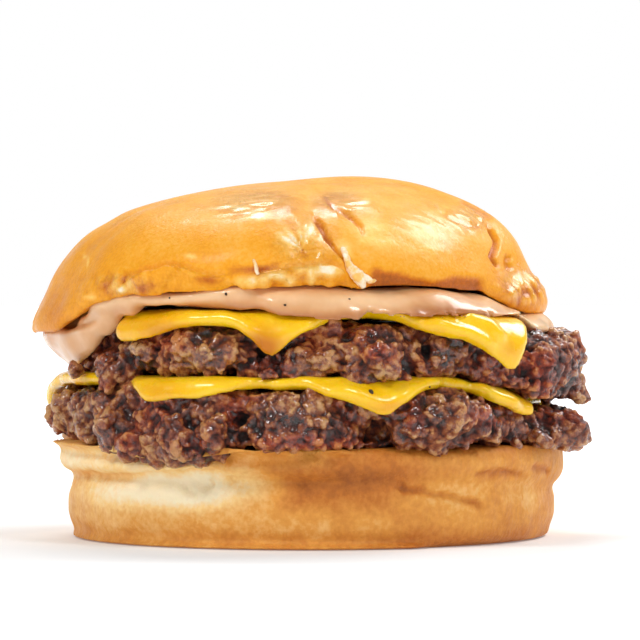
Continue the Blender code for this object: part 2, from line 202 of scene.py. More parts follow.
def thinned(piece, hidden, kept):
    """Takes points out where the piece is hidden or plain, down to this share of them."""
    piece.vertex_groups.new(name="hidden").add(np.nonzero(hidden)[0].tolist(), 1.0, "REPLACE")
    thinning = piece.modifiers.new("thinning", "DECIMATE")
    thinning.vertex_group = "hidden"
    thinning.vertex_group_factor = 1000.0
    thinning.ratio = 1.0 - hidden.mean() * (1.0 - kept)
    settle(piece)
    piece.vertex_groups.clear()


def points_of(piece):
    points = np.empty(len(piece.data.vertices) * 3)
    piece.data.vertices.foreach_get("co", points)
    return points.reshape(-1, 3) / METRE


def normals_of(piece):
    normals = np.empty(len(piece.data.vertices) * 3)
    piece.data.vertex_normals.foreach_get("vector", normals)
    return normals.reshape(-1, 3)


def edges_of(piece):
    edges = np.empty(len(piece.data.edges) * 2, np.int32)
    piece.data.edges.foreach_get("vertices", edges)
    return edges.reshape(-1, 2)


def put_points(piece, points):
    piece.data.vertices.foreach_set("co", (points * METRE).ravel())
    piece.data.update()


def relaxed(points, edges, rounds):
    """The points, after each has moved halfway to the mean of its neighbours, so many times."""
    ends = np.concatenate([edges, edges[:, ::-1]])
    count = np.bincount(ends[:, 0], minlength=len(points))[:, None]
    for _ in range(rounds):
        sums = [np.bincount(ends[:, 0], points[ends[:, 1], k], len(points)) for k in range(3)]
        points = (points + np.stack(sums, 1) / count) / 2.0
    return points


def hashed(cells, seed):
    """A number from 0 to 1 for each cell, which looks random."""
    mixed = cells[:, 0] * 73856093 ^ cells[:, 1] * 19349663 ^ cells[:, 2] * 83492791 ^ seed * 40503
    mixed = (mixed ^ mixed >> 13) * 1274126177 & 0x7FFFFFFF
    mixed = (mixed ^ mixed >> 16) * 668265263 & 0x7FFFFFFF
    return (mixed & 0xFFFFFF) / float(0x1000000)


def lumps(points, size, seed):
    """Soft random lumps of about this size, from -1 to 1."""
    scaled = points / size
    home = np.floor(scaled).astype(np.int64)
    part = scaled - home
    part = part * part * (3.0 - 2.0 * part)
    total = np.zeros(len(points))
    for corner in np.ndindex(2, 2, 2):
        weight = np.prod(np.where(corner, part, 1.0 - part), axis=1)
        total += weight * hashed(home + corner, seed)
    return 2.0 * total - 1.0


def grains(points, size, seed):
    """Distances to the nearest and the second nearest of scattered grains, in grain sizes, and a
    number from 0 to 1 that belongs to the nearest."""
    scaled = points / size
    home = np.floor(scaled).astype(np.int64)
    near = np.full(len(points), 9.0)
    second, own = near.copy(), np.zeros(len(points))
    for corner in np.ndindex(3, 3, 3):
        cell = home + corner - 1
        grain = cell + np.stack([hashed(cell, seed + k) for k in range(3)], 1)
        away = np.linalg.norm(grain - scaled, axis=1)
        own = np.where(away < near, hashed(cell, seed + 3), own)
        second = np.minimum(second, np.maximum(near, away))
        near = np.minimum(near, away)
    return near, second, own


def eased(x):
    """0 to 1, with a soft start and a soft end."""
    x = np.clip(x, 0.0, 1.0)
    return x * x * (3.0 - 2.0 * x)


def front_view(points):
    """Where the points appear from the camera, as x and z on the plane through the middle."""
    eye = np.array(EYE)
    share = -eye[1] / (points[:, 1] - eye[1])
    return eye[[0, 2]] + (points[:, [0, 2]] - eye[[0, 2]]) * share[:, None]


def off_line(view, line):
    """Each point's distance from a line of x and z, less than zero where it is above the line,
    with how far along the line it lies, from 0 to 1. The line runs from left to right."""
    line = np.array(line)
    best = np.full(len(view), 1e9)
    signed, share = best.copy(), np.zeros(len(view))
    lengths = np.linalg.norm(np.diff(line, axis=0), axis=1)
    total, gone = lengths.sum(), 0.0
    for start, end, length in zip(line[:-1], line[1:], lengths):
        way = (end - start) / length
        offset = view - start
        t = np.clip(offset @ way, 0.0, length)
        away = np.linalg.norm(offset - t[:, None] * way, axis=1)
        side = np.sign(way[1] * offset[:, 0] - way[0] * offset[:, 1])
        closer = away < best
        best = np.where(closer, away, best)
        signed = np.where(closer, away * side, signed)
        share = np.where(closer, (gone + t) / total, share)
        gone += length
    return signed, share


def groove(view, line, width, taper=0.15):
    """1 along a line of x and z, easing to 0 at this distance from it, and at its ends over this
    share of its length."""
    signed, share = off_line(view, line)
    ends = eased(np.minimum(share, 1.0 - share) / taper)
    return eased(1.0 - np.abs(signed) / width) * ends


def patch(view, place, size):
    """1 at this x and z, easing to 0 at the edge of an oval of this half width and height."""
    away = np.linalg.norm((view - place) / size, axis=1)
    return eased(1.0 - away)


def facing_front(points):
    """1 on the side that the camera sees, easing to 0 towards the middle."""
    return eased(-points[:, 1] / 8.0)


def outer_part(points, core, width):
    """0 within this radius, easing to 1 over this width outside it."""
    return eased((np.hypot(points[:, 0], points[:, 1]) - core) / width)


def paint(piece, name, values):
    """Stores a number for each of the piece's points, for its material to read."""
    layer = piece.data.attributes.new(name, "FLOAT", "POINT")
    layer.data.foreach_set("value", values.astype(np.float32))


def shown(piece, node, material):
    """Gives a finished piece its material, and puts it in the place of its node."""
    piece.data.shade_smooth()
    piece.data.materials.clear()
    piece.data.materials.append(material)
    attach(piece, "root")
    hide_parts(node)


class Recipe:
    """Builds a material's nodes, one line for each."""

    def __init__(self, name):
        self.material = bpy.data.materials.new(name)
        self.material.use_nodes = True
        self.tree = self.material.node_tree
        self.shader = self.tree.nodes["Principled BSDF"]
        self.place = self.tree.nodes.new("ShaderNodeTexCoord").outputs["Object"]

    def node(self, kind, **settings):
        made = self.tree.nodes.new("ShaderNode" + kind)
        for name, value in settings.items():
            setattr(made, name, value)
        return made

    def feed(self, socket, value):
        if isinstance(value, bpy.types.NodeSocket):
            self.tree.links.new(value, socket)
        else:
            socket.default_value = value

    def speckle(self, size, detail=3.0, roughness=0.55, stretch=None):
        """Cloudy noise whose spots are about this size in millimetres."""
        noise = self.node("TexNoise")
        noise.inputs["Detail"].default_value = detail
        noise.inputs["Roughness"].default_value = roughness
        noise.inputs["Scale"].default_value = 1.0 / (size * METRE)
        self.feed(noise.inputs["Vector"], self.stretched(stretch) if stretch else self.place)
        return noise.outputs["Fac"]

    def stretched(self, stretch):
        mapping = self.node("Mapping")
        mapping.inputs["Scale"].default_value = stretch
        self.feed(mapping.inputs["Vector"], self.place)
        return mapping.outputs["Vector"]

    def crackle(self, size, stretch):
        """0 on the thin lines of a crackled glaze, whose plates are about this size."""
        voronoi = self.node("TexVoronoi", feature="DISTANCE_TO_EDGE")
        voronoi.inputs["Scale"].default_value = 1.0 / (size * METRE)
        self.feed(voronoi.inputs["Vector"], self.stretched(stretch))
        return voronoi.outputs["Distance"]

    def painted(self, name):
        """What paint() put on the piece under this name."""
        return self.node("Attribute", attribute_name=name).outputs["Fac"]

    def sum(self, a, b, kind="ADD", clamp=False):
        """The two values added, or combined in another way."""
        made = self.node("Math", operation=kind, use_clamp=clamp)
        self.feed(made.inputs[0], a)
        self.feed(made.inputs[1], b)
        return made.outputs[0]

    def spread(self, value, low, high, to_low=0.0, to_high=1.0):
        """The value taken smoothly from one range to another."""
        made = self.node("MapRange", interpolation_type="SMOOTHSTEP")
        limits = {"From Min": low, "From Max": high, "To Min": to_low, "To Max": to_high}
        for socket, number in limits.items():
            made.inputs[socket].default_value = number
        self.feed(made.inputs["Value"], value)
        return made.outputs["Result"]

    def ramp(self, value, *stops):
        """Colours from one stop to the next, each stop a place from 0 to 1 and a screen colour."""
        made = self.node("ValToRGB")
        elements = made.color_ramp.elements
        while len(elements) < len(stops):
            elements.new(0.5)
        for element, (at, colour) in zip(elements, stops):
            element.position = at
            element.color = screen(colour)
        self.feed(made.inputs["Fac"], value)
        return made.outputs["Color"]

    def blend(self, share, a, b):
        made = self.node("Mix", data_type="RGBA")
        for socket, value in zip((made.inputs[0], made.inputs[6], made.inputs[7]), (share, a, b)):
            self.feed(socket, value)
        return made.outputs[2]

    def bump(self, height, depth, strength=1.0, under=None):
        made = self.node("Bump")
        made.inputs["Strength"].default_value = strength
        made.inputs["Distance"].default_value = depth * METRE
        self.feed(made.inputs["Height"], height)
        if under:
            self.feed(made.inputs["Normal"], under)
        return made.outputs["Normal"]

    def finish(self, **sockets):
        for name, value in sockets.items():
            self.feed(self.shader.inputs[name.replace("_", " ")], value)
        return self.material


def screen(colour):
    """A colour as a screen shows it, from 0 to 255, as the amounts of light that a shader takes."""
    return (*[((c / 255 + 0.055) / 1.055) ** 2.4 for c in colour], 1.0)


def heel_material():
    """Soft oven-browned skin, creamy to golden brown by how far it has browned, with painted shade and
    light on it.
    """
    bread = Recipe("heel_bread")
    browning_and_shade = bread.sum(bread.painted("browning_and_shade"), bread.spread(bread.speckle(7.0), 0.3, 0.7, -0.07, 0.07))
    browning_and_shade = bread.sum(browning_and_shade, bread.spread(bread.speckle(1.1), 0.3, 0.7, -0.05, 0.05))
    colour = bread.ramp(
        browning_and_shade,
        (0.0, (255, 238, 200)),
        (0.25, (252, 210, 138)),
        (0.5, (228, 158, 68)),
        (0.75, (196, 116, 38)),
        (1.0, (140, 72, 20)),
    )
    pores = bread.bump(bread.speckle(0.5, 4.0), 0.2)
    skin = bread.bump(bread.speckle(2.2, 4.0, 0.6, (1.0, 1.0, 0.3)), 0.5, 1.0, pores)
    return bread.finish(
        Base_Color=colour,
        Roughness=bread.spread(bread.speckle(3.0), 0.3, 0.7, 0.45, 0.62),
        Subsurface_Weight=0.12,
        Subsurface_Radius=(1.0, 0.5, 0.2),
        Subsurface_Scale=2.0 * METRE,
        Specular_IOR_Level=0.35,
        Normal=skin,
    )


HEEL_CRACKS = (
    # x and z seen from the front, and the depth
    (((16.5, 10.6), (19.5, 9.2), (22.5, 9.0), (25.0, 8.2), (28.8, 7.8), (33.0, 6.2), (35.6, 5.0)), 0.9),
    (((32.8, 11.4), (36.0, 12.0), (40.0, 12.2), (44.0, 11.6)), 0.7),
    (((44.6, 13.6), (46.5, 12.8), (48.6, 12.4)), 0.6),
    (((-49.0, 13.0), (-42.0, 12.0), (-33.0, 11.6), (-24.0, 12.2), (-16.0, 12.6)), 0.55),
    (((-25.6, 10.8), (-24.4, 9.0), (-22.6, 7.8)), 0.6),
    (((-20.2, 11.2), (-19.4, 9.6)), 0.5),
    (((-16.4, 11.4), (-15.2, 9.8)), 0.4),
)

heel = grown("bun_heel", "heel", voxel=0.58, rounds=6)
points, normals = points_of(heel), normals_of(heel)
view = front_view(points)
front = facing_front(points)
side = outer_part(points, 42.0, 5.0)
wave = 0.6 * lumps(points, 15.0, 11) + 0.32 * lumps(points * (1.0, 1.0, 0.6), 5.0, 12)
wrinkled = patch(view, (-27.0, 9.2), (27.0, 6.0)) * front
wave += (0.16 + 0.6 * wrinkled) * lumps(points * (1.0, 1.0, 0.4), 1.8, 13)
wave += 0.3 * lumps(points * (0.6, 0.6, 1.6), 4.0, 10)
cracks = np.zeros(len(points))
for line, depth in HEEL_CRACKS:
    wobble = np.stack([lumps(points, 2.2, 14), lumps(points, 2.2, 15)], 1) * 0.45
    cracks = np.maximum(cracks, depth * groove(view + wobble, line, 1.3) * front)
random_cracks = eased((0.16 - np.abs(lumps(points * (1.0, 1.0, 2.2), 16.0, 16))) / 0.16)
random_cracks *= eased(lumps(points, 24.0, 17) * 3.0) * (1.0 - front)
random_cracks *= eased(1.0 - np.abs(points[:, 2] - 10.0) / 6.0)
cracks = np.maximum(cracks, 0.7 * random_cracks)
pressed = 1.8 * patch(view, (-30.0, 17.3), (20.0, 4.0)) * front  # where mince hangs over the rim
shift = (wave * 0.6 - cracks - pressed) * side * eased(points[:, 2] / 3.0)
put_points(heel, points + normals * shift[:, None])

pale_band = 0.8 * eased(1.0 - np.abs(points[:, 2] - 9.5) / 5.0)
pale = np.maximum(wrinkled, pale_band * eased(lumps(points, 30.0, 18) + 0.2))
low = eased(1.0 - points[:, 2] / 5.0)
golden = patch(view, (7.0, 9.6), (27.0, 9.0)) * front
# the left ledge gets painted light and the right side painted shade, as if lit from the left
lit_ledge_left = patch(view, (-44.0, 15.5), (22.0, 5.0)) * front
shaded_rightward = eased((view[:, 0] - 4.0) / 16.0) * front
# How far the skin has browned, with painted shade darker in the cracks and towards the right, painted
# light on the left ledge, and darker towards the top.
browning_and_shade = 0.44 + 0.14 * low - 0.68 * pale + 0.46 * golden + 0.3 * cracks
browning_and_shade += 0.13 * shaded_rightward - 0.34 * lit_ledge_left + 0.12 * eased((points[:, 2] - 16.0) / 3.0)
paint(heel, "browning_and_shade", browning_and_shade)
shown(heel, "bun_heel", heel_material())


# The patties are beef mince pressed thin on a hot plate: clumps of coarse grains with clefts between
# them, seared to a dark crust above, browner and paler at the torn sides, and wet with juice.


def mince_material():
    """Browned mince: shade painted nearly black in its pits, tan on its grains, and a wet shine in
    places.
    """
    beef = Recipe("seared_beef")
    mottled = beef.spread(beef.speckle(3.0, 5.0, 0.6), 0.35, 0.65, -0.18, 0.16)
    tone = beef.sum(beef.painted("tone"), mottled)
    tone = beef.sum(tone, beef.spread(beef.speckle(0.7, 4.0, 0.65), 0.36, 0.64, -0.12, 0.1))
    brown = beef.ramp(
        tone,
        (0.0, (12, 3, 1)),
        (0.25, (58, 18, 8)),
        (0.5, (122, 52, 20)),
        (0.75, (176, 100, 48)),
        (1.0, (226, 170, 106)),
    )
    red = beef.ramp(
        tone,
        (0.0, (30, 6, 3)),
        (0.35, (104, 26, 10)),
        (0.7, (182, 66, 20)),
        (1.0, (232, 138, 66)),
    )
    fine = beef.bump(beef.speckle(1.3, 6.0, 0.7), 1.1, 1.0)
    grit = beef.bump(beef.speckle(0.4, 4.0, 0.7), 0.45, 1.0, fine)
    spots = beef.spread(beef.speckle(1.8, 4.0), 0.35, 0.65, -0.35, 0.35)
    wet = beef.sum(beef.painted("wet"), spots, clamp=True)
    return beef.finish(
        Base_Color=beef.blend(beef.painted("rust"), brown, red),
        Roughness=beef.spread(wet, 0.1, 0.8, 0.55, 0.25),
        Specular_IOR_Level=0.55,
        Coat_Weight=beef.spread(wet, 0.1, 0.6, 0.1, 1.0),
        Coat_Roughness=0.14,
        Normal=grit,
    )


def sides_of(box, draw, count):
    """Rays from a patty's axis outwards, at this many places all round."""
    rays = []
    for _ in range(count):
        angle = draw.uniform(-math.pi, math.pi)
        start = Vector((0.0, 0.0, draw.uniform(box[0][2] + 0.5, box[1][2] - 0.5)))
        rays.append((start, Vector((-math.sin(angle), math.cos(angle), 0.0))))
    return rays


def seen_at(zone, draw, count):
    """Rays from the camera to this many places in an oval zone."""
    (x, z), (half_width, half_height) = zone[:2]
    rays = []
    for _ in range(count):
        angle, share = draw.uniform(-math.pi, math.pi), math.sqrt(draw.uniform(0.0, 1.0))
        across, up = half_width * share * math.cos(angle), half_height * share * math.sin(angle)
        rays.append((EYE, (Vector((x + across, 0.0, z + up)) - EYE).normalized()))
    return rays


def tree_of(piece):
    """The piece's faces, ready for rays to be shot at them."""
    faces = [tuple(face.vertices) for face in piece.data.polygons]
    return BVHTree.FromPolygons([tuple(point) for point in points_of(piece)], faces)


def any_turn(draw, most, rows):
    """A turn of up to so many radians about an axis in any direction."""
    angle = draw.uniform(0.0, most)
    axis = Vector([draw.gauss(0, 1) for _ in range(3)]).normalized()
    return Matrix.Rotation(angle, rows, axis)


RAY_REACH = 900.0  # a ray that meets nothing sets its grain at the point nearest to this far along


def grain_mesh(surface, rays, sizes, sunk, draw):
    """Squashed balls set into a surface where the rays meet it, as one mesh. Each is sunk by a
    share of its size."""
    tree = tree_of(surface)
    bm = bmesh.new()
    bmesh.ops.create_icosphere(bm, subdivisions=2, radius=1.0)
    ball = np.array([v.co for v in bm.verts])
    while len(bm.verts) < len(ball) * len(rays):
        bmesh.ops.duplicate(bm, geom=bm.verts[:] + bm.edges[:] + bm.faces[:])
    places = []
    while len(places) < len(bm.verts) // len(ball):
        start, way = rays[len(places) % len(rays)]
        hit, normal, _, _ = tree.ray_cast(start, way)
        if hit is None:
            hit, normal = tree.find_nearest(start + way * RAY_REACH)[:2]
        size = draw.uniform(*sizes)
        turn = any_turn(draw, 6.3, 3)
        shape = Matrix.Diagonal([size * draw.uniform(0.6, 1.5) for _ in range(3)])
        middle = np.array(hit - normal * size * draw.uniform(*sunk))
        places.append(ball @ np.array(turn @ shape).T + middle)
    mesh = bpy.data.meshes.new("grains")
    bm.to_mesh(mesh)
    bm.free()
    mesh.vertices.foreach_set("co", (np.concatenate(places) * METRE).ravel())
    return mesh


RIM_RADIUS = 51.0  # single lumps stand on this ring, and from RIM_END outwards they stay in line
RIM_END = 46.0
END_DEPTH = -14.0


def bit_mesh(bits):
    """Single lumps of mince at the front edge, each an x and z seen from the front and a half size."""
    bm = bmesh.new()
    for x, z, wide, high in bits:
        y = -math.sqrt(RIM_RADIUS**2 - x * x) if abs(x) < RIM_END else END_DEPTH
        middle = Vector((x, y, z))
        shape = Matrix.Translation(middle) @ Matrix.Diagonal((wide, min(wide, high), high, 1.0))
        bmesh.ops.create_icosphere(bm, subdivisions=3, radius=1.0, matrix=Matrix.Scale(METRE, 4) @ shape)
    mesh = bpy.data.meshes.new("bits")
    bm.to_mesh(mesh)
    bm.free()
    return mesh


# grains all round a patty: how many, their sizes, and how far they are sunk, as a share of that
COARSE_GRAINS = (256, (1.8, 3.4), (0.65, 0.95))
FINE_GRAINS = (256, (0.8, 1.5), (0.4, 0.9))
MINCE_SKIN = 0.42
HIDDEN_CORE = 42.0  # within this radius the layers above and below hide a patty


def mince(node, name, seed, lumped, clefts, zones, bits, material):
    """A patty: a rounded layer with swellings and clefts, set with grains and fused into one skin."""
    piece = grown(node, name, voxel=0.8, rounds=3)
    points, normals = points_of(piece), normals_of(piece)
    side = outer_part(points, 40.0, 4.0)
    view, front = front_view(points), facing_front(points)
    swell = 1.1 * lumps(points, 8.0, seed) + 0.8 * lumps(points, 3.6, seed + 1)
    for place, size, height in lumped:
        swell += height * patch(view, place, size) * front
    for line, width, depth in clefts:
        swell -= depth * groove(view, line, width, 0.2) * front
    back_clefts = eased((0.1 - np.abs(lumps(points * (1.0, 1.0, 0.5), 17.0, seed + 2))) / 0.1)
    swell -= 2.4 * back_clefts * (1.0 - front)
    put_points(piece, points + normals * (swell * side)[:, None])

    draw = random.Random(seed)
    box = np.array(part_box(node)) / METRE
    joined = bmesh.new()
    joined.from_mesh(piece.data)
    added = [
        grain_mesh(piece, sides_of(box, draw, count), sizes, sunk, draw)
        for count, sizes, sunk in (COARSE_GRAINS, FINE_GRAINS)
    ]
    added.append(bit_mesh(bits))
    for zone, count, sizes in zones:
        if count:
            added.append(grain_mesh(piece, seen_at(zone, draw, count), sizes, (0.1, 0.7), draw))
    for mesh in added:
        joined.from_mesh(mesh)
        bpy.data.meshes.remove(mesh)
    joined.to_mesh(piece.data)
    joined.free()
    skin = piece.modifiers.new("skin", "REMESH")
    skin.mode = "VOXEL"
    skin.voxel_size = MINCE_SKIN * METRE
    settle(piece)
    points = points_of(piece)
    thinned(piece, np.hypot(points[:, 0], points[:, 1]) < HIDDEN_CORE, kept=0.08)

    points, edges = points_of(piece), edges_of(piece)
    points = relaxed(points, edges, 1)
    put_points(piece, points)
    normals = normals_of(piece)
    side = outer_part(points, HIDDEN_CORE, 2.0)
    warp = np.stack([lumps(points, 2.6, seed + n) for n in (10, 11, 12)], 1)
    near, second, own = grains(points * (0.8, 0.8, 1.0) + 0.9 * warp, 2.3, seed + 3)
    relief = 0.5 * eased((second - near) / 0.35) - 0.4 + 0.4 * (own - 0.5)
    relief += 0.5 * lumps(points, 1.0, seed + 4) + 0.8 * lumps(points, 2.4, seed + 5)
    points = points + normals * (relief * side)[:, None] * 0.8
    put_points(piece, points)
    raised = ((points - relaxed(points, edges, 20)) * normals_of(piece)).sum(axis=1)
    raised = np.clip(raised / 0.7, -1.0, 1.0)
    # painted shade and light: darker in the pits and lighter on the raised grains, with random tone
    tone = 0.56 + 0.62 * raised + 0.16 * (own - 0.5) + 0.26 * lumps(points, 5.0, seed + 6)
    rust = 0.2 + 0.6 * eased(lumps(points, 5.0, seed + 7) * 1.6)
    wet = 0.3 + 0.45 * raised + 0.5 * lumps(points, 4.0, seed + 8)
    view, front = front_view(points), facing_front(points)
    for (place, size, lighter, redder, wetter), _, _ in zones:
        near = patch(view, place, size) * front
        tone += lighter * near
        rust += redder * near
        wet += wetter * near
    paint(piece, "tone", tone)
    paint(piece, "rust", np.clip(rust, 0.0, 1.0))
    paint(piece, "wet", np.clip(wet, 0.0, 1.0))
    shown(piece, node, material)


# Places are x and z seen from the front. A lump is a place, a half size and a height. A cleft is a
# line, a half width and a depth. A zone is a place, a half size, how much lighter, redder and
# wetter it is, and then how many extra grains it has and how big they are.
LOWER_LUMPS = (
    ((-45.0, 30.0), (11.0, 2.6), -1.6),
    ((-45.0, 23.5), (8.0, 5.5), 0.6),
    ((-29.0, 21.0), (7.0, 6.0), 1.0),
    ((-2.0, 22.5), (12.0, 7.0), 1.6),
    ((27.0, 23.5), (13.0, 7.0), 1.4),
    ((50.0, 21.5), (5.0, 5.0), 0.2),
)
LOWER_CLEFTS = (
    (((-37.5, 27.0), (-36.5, 22.0)), 1.6, 1.6),
    (((-25.0, 23.6), (-22.6, 21.0)), 2.6, 3.2),
    (((-15.0, 24.8), (-13.8, 20.8)), 2.4, 3.4),
    (((5.0, 27.0), (9.5, 24.0), (12.5, 21.0), (15.4, 18.6)), 2.6, 3.2),
    (((43.4, 26.0), (43.6, 18.0)), 2.2, 2.6),
)
LOWER_ZONES = (
    (((-47.0, 23.0), (8.0, 6.5), 0.26, -0.2, -0.1), 0, (0.0, 0.0)),
    (((-43.0, 29.5), (9.0, 3.0), -0.3, -0.2, 0.0), 0, (0.0, 0.0)),
    (((-25.0, 20.0), (12.0, 6.0), -0.04, 0.2, 0.0), 128, (0.6, 1.1)),
    (((-3.0, 25.0), (13.0, 4.5), 0.2, -0.2, 0.4), 128, (0.4, 0.8)),
    (((1.0, 18.5), (14.0, 2.2), -0.1, 1.4, 0.3), 64, (0.7, 1.2)),
    (((25.0, 24.5), (5.0, 4.5), -0.02, -0.5, 0.7), 64, (0.4, 0.8)),
    (((36.0, 24.0), (7.0, 4.0), -0.02, 0.6, 0.2), 64, (0.6, 1.1)),
    (((28.0, 17.5), (16.0, 2.2), -0.2, 0.0, 0.0), 0, (0.0, 0.0)),
    (((49.5, 22.5), (6.0, 4.5), 0.0, 0.1, 0.2), 64, (0.9, 1.6)),
)
UPPER_LUMPS = (
    ((-46.0, 31.5), (7.0, 2.6), -1.8),
    ((-43.0, 38.0), (5.5, 5.0), 1.2),
    ((-34.0, 37.0), (4.0, 3.0), 0.9),
    ((-19.5, 38.0), (11.0, 5.5), 1.8),
    ((-1.0, 34.5), (5.5, 4.0), 1.2),
    ((12.0, 38.5), (9.0, 5.0), 1.6),
    ((27.5, 37.0), (5.5, 5.0), 1.0),
    ((44.0, 34.5), (8.0, 6.0), 0.5),
    ((52.0, 29.0), (5.0, 2.6), -1.0),
)
UPPER_CLEFTS = (
    (((-38.6, 41.0), (-38.0, 35.0)), 1.6, 2.0),
    (((-27.0, 33.2), (-19.0, 32.6), (-11.0, 33.4)), 1.6, 2.0),
    (((-10.0, 38.0), (-9.4, 34.5)), 1.8, 2.4),
    (((-2.0, 39.6), (4.0, 37.4), (6.0, 34.5), (8.6, 31.6)), 1.8, 2.8),
    (((22.6, 39.5), (23.4, 34.0)), 1.8, 2.4),
    (((32.8, 40.0), (34.0, 33.0)), 1.8, 2.0),
)
UPPER_ZONES = (
    (((-43.0, 37.0), (6.0, 6.0), 0.02, 0.5, 0.1), 64, (0.6, 1.1)),
    (((-34.0, 37.0), (4.5, 2.6), 0.16, -0.3, 0.4), 64, (0.8, 1.4)),
    (((-19.5, 35.0), (11.0, 3.4), 0.14, -0.4, 0.7), 64, (1.1, 1.8)),
    (((-19.5, 40.5), (10.0, 2.6), 0.02, -0.4, 0.2), 0, (0.0, 0.0)),
    (((-1.0, 34.0), (6.0, 4.0), 0.2, -0.2, 0.6), 64, (0.9, 1.5)),
    (((8.0, 40.5), (8.0, 3.0), 0.0, 0.7, 0.2), 0, (0.0, 0.0)),
    (((12.4, 36.4), (3.4, 2.2), 0.12, 1.2, 0.5), 32, (0.6, 1.1)),
    (((15.0, 32.4), (4.6, 2.4), 0.16, -0.3, 0.7), 32, (0.9, 1.6)),
    (((27.4, 37.0), (5.6, 4.5), -0.16, -0.3, 0.8), 0, (0.0, 0.0)),
    (((46.5, 33.0), (9.5, 8.0), -0.2, 0.6, -0.3), 128, (0.6, 1.1)),
    (((45.0, 40.5), (8.0, 1.6), -0.3, 0.0, 0.3), 0, (0.0, 0.0)),
)
# Each of these is a lump of its own: x and z seen from the front, and a half width and height
LOWER_BITS = (
    (-37.4, 20.4, 3.0, 2.8),
    (-33.6, 19.6, 3.6, 3.4),
    (-29.4, 18.8, 3.4, 3.6),
    (-25.4, 18.6, 3.8, 3.4),
    (-21.2, 18.6, 3.4, 3.4),
    (-17.2, 19.4, 3.0, 2.8),
    (-14.6, 20.6, 2.6, 2.2),
    (46.5, 24.0, 1.8, 1.4),
)
UPPER_BITS = (
    (-39.0, 31.6, 1.7, 2.8),
    (-45.6, 33.6, 1.6, 1.6),
    (-7.6, 33.4, 2.0, 1.5),
    (49.4, 40.4, 1.2, 0.7),
    (13.0, 32.2, 1.8, 1.6),
    (17.6, 32.8, 2.0, 1.6),
)
seared = mince_material()
mince("patty_lower", "lower_patty", 30, LOWER_LUMPS, LOWER_CLEFTS, LOWER_ZONES, LOWER_BITS, seared)
mince("patty_upper", "upper_patty", 60, UPPER_LUMPS, UPPER_CLEFTS, UPPER_ZONES, UPPER_BITS, seared)


# The cheese is a slice of processed cheese on each patty, melted until it runs over the edge in
# tongues with thick rounded rims, smooth and shining.


def cheese_material():
    """Warm yellow, a little see-through, with a wet shine."""
    cheese = Recipe("melted_cheese")
    cloudy = cheese.spread(cheese.speckle(9.0, 2.0), 0.3, 0.7, 0.2, 0.0)
    tint = cheese.sum(cheese.painted("deep_and_shaded"), cloudy)
    colour = cheese.ramp(tint, (0.0, (252, 204, 20)), (0.3, (244, 184, 6)), (1.0, (200, 118, 0)))
    soft = cheese.bump(cheese.speckle(2.6, 2.0), 0.25, 0.6)
    return cheese.finish(
        Base_Color=colour,
        Roughness=cheese.spread(cheese.speckle(3.4), 0.35, 0.65, 0.2, 0.36),
        Specular_IOR_Level=0.3,
        Subsurface_Weight=0.3,
        Subsurface_Radius=(1.0, 0.5, 0.05),
        Subsurface_Scale=2.5 * METRE,
        Coat_Weight=cheese.spread(cheese.painted("deep_and_shaded"), 0.2, 0.9, 0.6, 0.1),
        Coat_Roughness=0.1,
        Normal=soft,
    )


def melted(node, name, seed, pleats, deep_and_shaded, drawn_back):
    """A slice with soft swellings and pleats, painted a deeper yellow where it hangs thick and with
    painted shade on its lowest tongues, with its rim drawn back in one place."""
    piece = grown(node, name, voxel=0.6, rounds=5)
    points, normals = points_of(piece), normals_of(piece)
    view = front_view(points)
    side = outer_part(points, 40.0, 5.0)
    front = facing_front(points)
    swell = 0.35 * lumps(points, 7.0, seed) + 0.12 * lumps(points, 2.8, seed + 1)
    for line, width, height in pleats:
        swell = swell + height * groove(view, line, width, 0.2) * front
    put_points(piece, points + normals * (swell * side)[:, None])
    back = patch(view, *drawn_back)[:, None] * front[:, None]
    put_points(piece, points_of(piece) - points * (0.03, 0.03, 0.0) * back + (0.0, 0.0, 0.8) * back)
    # deeper yellow where it hangs thick, with painted shade on its lowest tongues
    depth = sum(amount * patch(view, place, size) for place, size, amount in deep_and_shaded)
    paint(piece, "deep_and_shaded", depth * front)
    return piece


UPPER_PLEATS = (
    # x and z seen from the front, the width and the height
    (((23.0, 42.8), (32.0, 40.4), (38.0, 37.0)), 1.6, 0.8),
    (((30.0, 44.0), (36.0, 42.0), (39.5, 38.4)), 1.4, 0.8),
    (((-34.0, 42.0), (-26.0, 43.4), (-17.0, 43.6), (-10.0, 40.0), (-8.0, 38.0)), 2.4, 0.6),
)
LOWER_PLEATS = (
    (((-32.0, 29.4), (-24.0, 30.2), (-16.0, 30.0)), 2.0, 0.5),
    (((4.0, 30.4), (12.0, 27.4), (18.0, 25.4)), 2.6, 0.6),
    (((32.0, 31.0), (38.0, 28.6), (43.0, 25.4)), 1.8, 0.7),
)
# where it hangs thick and is a deeper yellow, and where shade is painted on its lowest tongues: a place,
# a half size and how much
UPPER_DEEP_AND_SHADED = (
    ((-9.0, 37.6), (6.5, 6.0), 1.0),
    ((-30.0, 41.0), (14.0, 3.6), 0.5),
    ((40.0, 37.0), (3.0, 3.0), 0.4),
)
LOWER_DEEP_AND_SHADED = (
    ((-30.0, 28.4), (9.0, 2.6), 0.3),
    ((17.0, 25.6), (7.0, 2.4), 0.4),
    ((-47.0, 29.0), (6.0, 5.0), 0.2),
)
# where its rim draws back under the layer above
UPPER_BACK = ((11.0, 42.5), (12.0, 3.6))
LOWER_BACK = ((50.0, 25.0), (6.0, 3.6))
yellow = cheese_material()
lower_cheese = melted("cheese_lower", "lower_cheese", 21, LOWER_PLEATS, LOWER_DEEP_AND_SHADED, LOWER_BACK)
shown(lower_cheese, "cheese_lower", yellow)
upper_cheese = melted("cheese_upper", "upper_cheese", 25, UPPER_PLEATS, UPPER_DEEP_AND_SHADED, UPPER_BACK)
shown(upper_cheese, "cheese_upper", yellow)


# The sauce is a thick pale dressing spread on the crown's cut face. The weight of the crown presses
# it out in one smooth band that sags over the cheese, with flecks of pepper in it.


